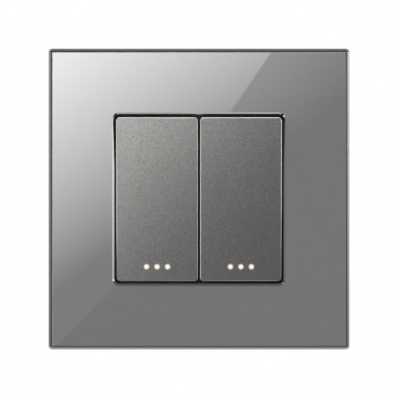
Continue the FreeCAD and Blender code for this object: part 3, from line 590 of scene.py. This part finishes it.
# Plungers
# A pin moulded in the same off-white polyamide as the housing, which slides in the tube of the
# yoke. Its rounded end runs along the seesaw arm and presses it over.
for gang in ("left", "right"):
    merged_copy(f"{gang}_plunger", f"{gang}_plunger", offwhite, ease=0.1)


# Plunger springs
# A coil of hard-drawn steel wire in each tube, which pushes the plunger out. It shortens as the
# plunger slides in.
SPRING_START = 2.5 * MM
SPRING_LENGTH = 4.2 * MM
COIL_RADIUS = 1.2 * MM
COIL_TURNS = 7
STEPS_A_TURN = 16
WIRE_RADIUS = 0.2 * MM
WIRE_SIDES = 8
# Drawn steel wire: a dark grey with a close, even gloss
wire_steel = metal("hard-drawn spring wire", "#8D9094", "#A5A7A9", roughness=0.3)
joint_named = {joint["name"]: joint for joint in frame["joints"]}
sideways = np.array((1.0, 0.0, 0.0))
for gang in ("left", "right"):
    slide = joint_named[f"{gang}_plunger_slide"]
    pivot = np.array(joint_named[f"{gang}_rocker_tilt"]["pos_m"])
    inward = -np.array(slide["axis"])
    upward = np.cross(inward, sideways)
    # The middle of the wire climbs evenly with its turn. The wire is a circle round it, in the
    # plane of the radius and the axis, and both of its ends close on the middle.
    turn = np.linspace(0, 2 * math.pi * COIL_TURNS, STEPS_A_TURN * COIL_TURNS + 1)
    radial = np.cos(turn)[:, None] * sideways + np.sin(turn)[:, None] * upward
    climb = SPRING_START + WIRE_RADIUS + (SPRING_LENGTH - 2 * WIRE_RADIUS) * turn / turn[-1]
    centre = pivot + COIL_RADIUS * radial + climb[:, None] * inward
    round_wire = np.linspace(0, 2 * math.pi, WIRE_SIDES, endpoint=False)[None, :, None]
    circle = WIRE_RADIUS * (np.cos(round_wire) * radial[:, None, :] + np.sin(round_wire) * inward)
    closed_end = np.zeros((1, WIRE_SIDES, 3))
    circle = np.concatenate((closed_end, circle, closed_end))
    centre = np.concatenate((centre[:1], centre, centre[-1:]))
    points = centre[:, None, :] + circle
    faces = grid_faces(len(centre), WIRE_SIDES, wrap_columns=True)
    coil = closed_piece(f"{gang}_coil_spring", [(points, faces)], wire_steel, sharp=80.0)
    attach(coil, f"{gang}_rocker")
    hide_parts(f"{gang}_plunger_spring")
    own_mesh(coil)


# Rocker caps
# Two caps side by side in the opening, moulded and then sprayed with a satin metallic lacquer.
# Each snaps onto its yoke and has three holes for the lit dots.

# Satin metallic lacquer: metal flakes in a grey film sparkle finely and spread a lamp into a soft
# sheen. Real flakes are too fine to show and are drawn coarser. Their noise is turned out of line
# with the face, because noise cut along its own grid shows bands.
FLAKE = 0.238 * MM
satin, tree = new_material("satin metallic lacquer on moulded caps")
place = add(tree, "TexCoord")
turned = add(tree, "Mapping", {"Vector": place.outputs["Object"], "Rotation": (0.5, 0.6, 0.4)})
flakes = add(tree, "TexNoise", {"Vector": turned.outputs["Vector"], "Scale": 1 / FLAKE, "Detail": 1.0})
sparkle = add(tree, "MapRange", {"Value": flakes.outputs["Fac"], "From Min": 0.36, "From Max": 0.64})
flake_tone = add(
    tree,
    "Mix",
    {"Factor": sparkle.outputs["Result"], "A": linear("#484847"), "B": linear("#60605E")},
    data_type="RGBA",
)
flake_bump = add(tree, "Bump", {"Strength": 0.06, "Distance": 0.02 * MM, "Height": flakes.outputs["Fac"]})
lacquer = add(
    tree,
    "BsdfPrincipled",
    {
        "Base Color": flake_tone.outputs["Result"],
        "Metallic": 0.86,
        "Roughness": 0.33,
        "IOR": 1.5,
        "Specular IOR Level": 1.0,
        "Normal": flake_bump.outputs[0],
    },
)
add(tree, "OutputMaterial", {"Surface": lacquer.outputs[0]})

# The edges are painted in a pale lacquer: a painted highlight, which stands in for the pale line of light
# that they catch
EDGE_FLAKE = 0.385 * MM
edge_highlight_paint, tree = new_material("lacquer with a painted highlight on the cap edges")
highlight_tone = mottled(tree, EDGE_FLAKE, "#989896", "#A6A6A4", detail=1.0)[1]
highlight_lacquer = add(
    tree,
    "BsdfPrincipled",
    {"Base Color": highlight_tone, "Metallic": 0.86, "Roughness": 0.34, "IOR": 1.5},
)
add(tree, "OutputMaterial", {"Surface": highlight_lacquer.outputs[0]})

# Each cap rests tilted about its trunnions. Its edges are the faces that slant against its front
# by 26 to 60 degrees, which these cosines give, and they take the pale lacquer of the painted highlight.
CAP_TILT = math.radians(3.0)
EDGE_STEEP = 0.5
EDGE_SHALLOW = 0.9
cap_forward = np.array((0.0, -math.cos(CAP_TILT), -math.sin(CAP_TILT)))
cap_upward = np.array((0.0, -math.sin(CAP_TILT), math.cos(CAP_TILT)))
for gang in ("left", "right"):
    cap = merged_copy(f"{gang}_rocker_cap", f"{gang}_rocker", satin, ease=0.14)
    cap.data.materials.append(edge_highlight_paint)
    facing = np.empty(3 * len(cap.data.polygons), dtype=np.float32)
    cap.data.polygons.foreach_get("normal", facing)
    slant = facing.reshape(-1, 3) @ cap_forward
    gets_painted_highlight = (slant > EDGE_STEEP) & (slant < EDGE_SHALLOW)
    cap.data.polygons.foreach_set("material_index", gets_painted_highlight.astype(np.int32))


# Light guides and lit dots
# A clear polycarbonate guide behind each cap ends in three round pins, which fill the holes in
# the cap. A small lens on each pin glows a warm white, brightest in the middle.
CAP_FACE = 5.5 * MM
DOT_DROP = 19.08 * MM
DOT_PITCH = 3.0 * MM
LENS_RADIUS = 0.88 * MM
LENS_CROWN = 0.04 * MM
LENS_LIFT = 0.005 * MM
LENS_DEPTH = 0.1 * MM
LENS_RINGS = 10
LENS_SIDES = 24
GLOW_PEAK = 0.95
GLOW_LEAST = 0.03
GLOW_REACH = 0.72
HAZE = 0.667 * MM

# Polycarbonate from a polished mould, lit from behind: smooth, with a faint warm glow of its own
clear_guide, tree = new_material("clear moulded polycarbonate")
warm = mottled(tree, HAZE, "#C9C6BE", "#D8D5CD")[1]
guide_skin = add(
    tree,
    "BsdfPrincipled",
    {
        "Base Color": warm,
        "Roughness": 0.12,
        "IOR": 1.58,
        "Emission Color": linear("#FFE4C4"),
        "Emission Strength": 0.12,
    },
)
add(tree, "OutputMaterial", {"Surface": guide_skin.outputs[0]})

# The lens is milky, and its light turns from peach at its edge to nearly white in the middle
lit_lens, tree = new_material("lit polycarbonate lens")
milky = mottled(tree, HAZE, "#77736C", "#85817A")[1]
shown = add(tree, "Attribute", attribute_name="glow")
heat = add(
    tree,
    "Mix",
    {"Factor": shown.outputs["Fac"], "A": linear("#FFD9BA"), "B": linear("#FFF3E8")},
    data_type="RGBA",
)
lens_skin = add(
    tree,
    "BsdfPrincipled",
    {
        "Base Color": milky,
        "Roughness": 0.35,
        "IOR": 1.58,
        "Emission Color": heat.outputs["Result"],
        "Emission Strength": shown.outputs["Fac"],
    },
)
add(tree, "OutputMaterial", {"Surface": lens_skin.outputs[0]})

# A lens is a crown whose height falls with the square of the distance from its middle, and a
# flat back closes it inside the cap. Its glow dies away as e to the power of minus the cube of
# that distance over the glow's reach, down to a least share.
share = np.linspace(0, 1, LENS_RINGS)
reach = np.concatenate((share, [1, 0]))[:, None]
crown = np.concatenate((LENS_CROWN * (1 - share**2) + LENS_LIFT, [-LENS_DEPTH, -LENS_DEPTH]))[:, None]
turn = np.linspace(0, 2 * math.pi, LENS_SIDES, endpoint=False)[None, :]
lens_shape = (
    (LENS_RADIUS * reach * np.cos(turn))[..., None] * sideways
    + (LENS_RADIUS * reach * np.sin(turn))[..., None] * cap_upward
    + (crown + 0 * turn)[..., None] * cap_forward
)
lens_faces = grid_faces(len(reach), LENS_SIDES, wrap_columns=True)
for gang in ("left", "right"):
    merged_copy(f"{gang}_light_guide", f"{gang}_rocker", clear_guide)
    low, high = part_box(f"{gang}_light_guide")
    pivot = np.array(joint_named[f"{gang}_rocker_tilt"]["pos_m"])
    guide_middle = np.array(((low[0] + high[0]) / 2, pivot[1], pivot[2]))
    centre = guide_middle + CAP_FACE * cap_forward - DOT_DROP * cap_upward
    for number, step in enumerate((-1, 0, 1), 1):
        middle = centre + step * DOT_PITCH * sideways
        lens = closed_piece(f"{gang}_lens_{number}", [(middle + lens_shape, lens_faces)], lit_lens)
        corners = np.empty(3 * len(lens.data.vertices), dtype=np.float32)
        lens.data.vertices.foreach_get("co", corners)
        off_axis = np.cross(corners.reshape(-1, 3) - middle, cap_forward)
        distance = np.linalg.norm(off_axis, axis=1) / LENS_RADIUS
        glow = GLOW_PEAK * np.exp(-((distance / GLOW_REACH) ** 3)) + GLOW_LEAST
        values = lens.data.attributes.new("glow", "FLOAT", "POINT")
        values.data.foreach_set("value", glow.astype(np.float32))
        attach(lens, f"{gang}_rocker")


# Panel carrier
# The frame behind the glass, moulded in graphite ABS, with a well round the caps and the latches
# that snap it onto the bridge.

# ABS with a fine mould grain: a dark neutral grey with a dull sheen
graphite = moulded("graphite moulded ABS", "#2B2C2E", "#333436", roughness=0.48)
merged_copy("panel_carrier", "base", graphite, ease=0.1)


# Glass panel
# A square of 4 mm float glass, painted grey on its back, with a polished bevel round its front
# and a shallow polished rim round the square opening. It is bonded to the carrier behind.
BEVEL = 1.15 * MM
PANEL_CORNER = 1.1 * MM
BEVEL_CORNER = 0.1 * MM
FACE_CORNER = 0.05 * MM
OPENING_HALF = 24.2 * MM
OPENING_CORNER = 1.55 * MM
RIM = 0.6 * MM
RIM_DROP = 0.2 * MM
ARRIS = 0.12 * MM
DARK_STRIP_START = 0.56 * MM
PIGMENT = 1.11 * MM


def square_loop(half, corner, height, steps=8):
    """A square of half-width half with corners rounded to the radius corner, at y = -height.
    Each corner is a quarter turn of steps points round a centre that lies corner inside both sides."""
    quarter = np.linspace(0, math.pi / 2, steps)
    turn = (quarter + np.arange(4)[:, None] * math.pi / 2).ravel()
    side = np.repeat(np.arange(4) * math.pi / 2 + math.pi / 4, steps)
    middle = (half - corner) * math.sqrt(2)
    x = middle * np.cos(side) + corner * np.cos(turn)
    z = middle * np.sin(side) + corner * np.sin(turn)
    return np.stack((x, np.full_like(x, -height), z), axis=-1)


# The loops run from the outer edge of the back over the front and down through the opening
panel_half = panel_high[0]
glass_front = -panel_low[1]
glass_back = -panel_high[1]
bevel_foot = glass_front - BEVEL
loops = (
    square_loop(panel_half - ARRIS, PANEL_CORNER - ARRIS, glass_back),
    square_loop(panel_half, PANEL_CORNER, glass_back + ARRIS),
    square_loop(panel_half, PANEL_CORNER, bevel_foot - ARRIS / 2),
    square_loop(panel_half - ARRIS / 2, PANEL_CORNER - ARRIS / 2, bevel_foot + ARRIS / 2),
    square_loop(panel_half - DARK_STRIP_START, PANEL_CORNER - DARK_STRIP_START, bevel_foot + DARK_STRIP_START),
    square_loop(panel_half - BEVEL + ARRIS / 2, BEVEL_CORNER, glass_front - ARRIS / 2),
    square_loop(panel_half - BEVEL - ARRIS / 2, FACE_CORNER, glass_front),
    square_loop(OPENING_HALF + RIM, OPENING_CORNER + RIM, glass_front),
    square_loop(OPENING_HALF, OPENING_CORNER, glass_front - RIM_DROP),
    square_loop(OPENING_HALF, OPENING_CORNER, glass_back + ARRIS),
    square_loop(OPENING_HALF + ARRIS, OPENING_CORNER + ARRIS, glass_back),
)
glass_points = np.stack(loops)
glass_faces = grid_faces(len(loops), len(loops[0]), wrap_rows=True, wrap_columns=True)

# Back-painted float glass: the grey film is seen through clear glass, which mirrors the studio.
# Its pigment is too fine to show and is drawn coarser.
glass, tree = new_material("back-painted float glass")
film = mottled(tree, PIGMENT, "#757574", "#777776")[1]
coated = add(tree, "BsdfPrincipled", {"Base Color": film, "Roughness": 0.02, "IOR": 1.52})
add(tree, "OutputMaterial", {"Surface": coated.outputs[0]})

# Along the inner half of the bevel a dark, dull strip is painted: a painted shade, which stands in for the
# dark line that the glass shows at the foot of its bevel
# The strip's dark tone is painted shade
foot, tree = new_material("painted dark strip at the foot of the bevel")
shade = mottled(tree, PIGMENT, "#323232", "#3C3C3B")[1]
dark_strip_surface = add(
    tree,
    "BsdfPrincipled",
    {"Base Color": shade, "Roughness": 0.3, "IOR": 1.52, "Specular IOR Level": 0.12},
)
add(tree, "OutputMaterial", {"Surface": dark_strip_surface.outputs[0]})

# The rim and the wall of the opening are bare glass over the dark carrier, painted dark: partly the
# carrier's own colour and partly painted shade, so that only the mirrored strips light the rim
bare, tree = new_material("clear glass over the dark carrier with painted shade")
shade = mottled(tree, PIGMENT, "#262626", "#303030")[1]
clear = add(tree, "BsdfPrincipled", {"Base Color": shade, "Roughness": 0.05, "IOR": 1.52})
add(tree, "OutputMaterial", {"Surface": clear.outputs[0]})

# A row of faces lies between a loop and the next. The painted dark strip is row 4, and the rim, the
# wall and the arris behind it are rows 7 to 9.
panel = new_piece("polished_glass_panel", glass_points, glass_faces, glass)
panel.data.materials.append(foot)
panel.data.materials.append(bare)
row = np.arange(len(glass_faces)) // len(loops[0])
finish = np.select([row == 4, (row >= 7) & (row <= 9)], [1, 2], default=0)
panel.data.polygons.foreach_set("material_index", finish.astype(np.int32))
panel.data.set_sharp_from_angle(angle=math.radians(5))
even = panel.modifiers.new("even shading", "WEIGHTED_NORMAL")
even.keep_sharp = True
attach(panel, "base")
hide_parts("glass_panel")


# Softboxes and cloth
# Glossy-only cards in front of the switch, which its polished glass mirrors: black cloth round
# the camera, a large softbox at the upper left and thin strips all round for the slanting edges.

# Glass with an index of 1.52 mirrors this share of a light straight back. The black cloth still
# gives a faint light.
GLASS_MIRROR = 0.0426
CLOTH_GLOW = 0.25
CARD_DISTANCE = 0.15
BEHIND_DISTANCE = 0.165
CLOTH_DISTANCE = 0.36
CLOTH_HALF = 235 * MM


def new_card(name, points, strength):
    """A glossy-only sheet from a grid of points, glowing at each point by its strength."""
    cloth, tree = new_material(name + " cloth")
    given = add(tree, "Attribute", attribute_name="strength")
    glow = add(tree, "Emission", {"Strength": given.outputs["Fac"]})
    add(tree, "OutputMaterial", {"Surface": glow.outputs[0]})
    rows, columns = points.shape[:2]
    card = new_piece(name, points, grid_faces(rows, columns), cloth)
    values = card.data.attributes.new("strength", "FLOAT", "POINT")
    values.data.foreach_set("value", strength.ravel().astype(np.float32))
    card.visible_camera = False
    card.visible_diffuse = False
    card.visible_shadow = False
    card.visible_transmission = False
    card.visible_volume_scatter = False


def mirrored_place(x, z, distance):
    """Where a card at this distance must stand for the camera to see it at x, z on the glass.
    The line from the camera's mirror image through that point crosses the card there."""
    share = distance / CAMERA_DISTANCE
    card_x = x * (1 + share) - camera.location.x * share
    card_z = z * (1 + share) - camera.location.z * share
    return np.stack((card_x, np.full_like(card_x, glass_face - distance), card_z), axis=-1)


def shown_share(x, z, start, leftward, upward, least, most):
    """The share of white that a card shows at x, z on the glass. It is start at the middle, grows by
    leftward and upward for each metre that way, and stays between least and most."""
    return np.clip(start - leftward * x + upward * z, least, most)


# Black cloth round the camera, behind all the other cards
across = np.linspace(-CLOTH_HALF, CLOTH_HALF, 8)
x, z = np.meshgrid(across, across)
new_card("black cloth", mirrored_place(x, z, CLOTH_DISTANCE), np.full_like(x, CLOTH_GLOW))

# The large softbox, by the places where it shows on the glass. Its slanting edge crosses the
# panel from the top to the lower left corner, and below its bend it curves to the left with the
# square of the drop. Each row of points runs from that edge to the left border of the panel.
SOFTBOX_EDGE = -7.9 * MM
SOFTBOX_SLOPE = 0.68
SOFTBOX_BEND = -22 * MM
SOFTBOX_CURVE = 12.0
SOFTBOX_LEFT = -45.5 * MM
SOFTBOX_LOW = -50 * MM
SOFTBOX_HIGH = 44 * MM
z = np.linspace(SOFTBOX_LOW, SOFTBOX_HIGH, 60)[:, None]
edge = SOFTBOX_EDGE + SOFTBOX_SLOPE * z - SOFTBOX_CURVE * np.clip(SOFTBOX_BEND - z, 0, None) ** 2
x = edge + (np.minimum(edge, SOFTBOX_LEFT) - edge) * np.linspace(0, 1, 40)[None, :] ** 1.5
z = np.broadcast_to(z, x.shape)
shown = shown_share(x, z, start=-0.002, leftward=6.8, upward=9.6, least=0.025, most=0.66)
new_card("large softbox", mirrored_place(x, z, CARD_DISTANCE), CLOTH_GLOW + shown / GLASS_MIRROR)

# A bright sheet left of it, past the edge of the panel, which only the satin caps pick up
LEFT_SHEET = 1.15 / GLASS_MIRROR
x, z = np.meshgrid(np.linspace(-60, -46, 6) * MM, np.linspace(-32, 2, 12) * MM)
new_card("left sheet", mirrored_place(x, z, CARD_DISTANCE), np.full_like(x, LEFT_SHEET))

# A second, weaker softbox behind its edge lights the upper right of the panel in the same way
x, z = np.meshgrid(np.linspace(-40, 60, 30) * MM, np.linspace(-30, 60, 30) * MM)
shown = shown_share(x, z, start=0.028, leftward=3.33, upward=3.85, least=0, most=0.12)
new_card("weak softbox", mirrored_place(x, z, BEHIND_DISTANCE), CLOTH_GLOW + shown / GLASS_MIRROR)


def side_strip(name, side, band, strength, half=0.16, rise=0.0, distance=0.3):
    """A curved strip that the slanting edges mirror. It stands at one distance from the middle of
    the glass, towards the side (x, z), over a band of angles in degrees off the camera's axis,
    and reaches half to each way. The strength of a side strip grows by the share rise a metre up."""
    across, up = side
    angles = np.radians(np.linspace(*band, 12))
    off_axis, along = np.meshgrid(angles, np.linspace(-half, half, 8), indexing="ij")
    outward = distance * np.sin(off_axis)
    x = outward * across + along * up
    y = glass_face - distance * np.cos(off_axis)
    z = outward * up + along * across
    new_card(name, np.stack((x, y, z), axis=-1), strength * (1 + rise * along * across))


# A facet mirrors what stands off the axis by twice its own slope: the rim of the opening about
# 37 degrees, the arris at the edge of the face about 50, and the chamfer of the caps and the
# bevel of the glass about 90. The caps' edges also spread a wide lobe round it.
RIGHT, LEFT, UP, DOWN = (1, 0), (-1, 0), (0, 1), (0, -1)
RIM_BAND = (28, 44)
ARRIS_BAND = (49, 57)
EDGE_BAND = (60, 82)
BEVEL_BAND = (82, 100)
side_strip("right strip for the rim", RIGHT, RIM_BAND, strength=13.0, half=0.05, rise=11.0)
side_strip("left strip for the rim", LEFT, RIM_BAND, strength=3.0, half=0.05)
side_strip("lower strip for the rim", DOWN, RIM_BAND, strength=9.0, half=0.05)
side_strip("upper strip for the rim", UP, RIM_BAND, strength=1.6, half=0.05)
side_strip("right strip for the cap edge", RIGHT, EDGE_BAND, strength=1.0)
side_strip("left strip for the cap edge", LEFT, EDGE_BAND, strength=5.0)
side_strip("upper strip for the cap edge", UP, EDGE_BAND, strength=6.0)
side_strip("lower cloth for the cap edge", DOWN, EDGE_BAND, strength=0.15)
side_strip("lower strip for the arris", DOWN, ARRIS_BAND, strength=4.0)
side_strip("right strip for the bevel", RIGHT, BEVEL_BAND, strength=5.0, half=0.07, rise=12.0)
side_strip("left strip for the bevel", LEFT, BEVEL_BAND, strength=1.8, half=0.07, rise=12.0)
side_strip("lower strip for the bevel", DOWN, BEVEL_BAND, strength=3.6, distance=0.09)
side_strip("upper strip for the bevel", UP, BEVEL_BAND, strength=0.3)
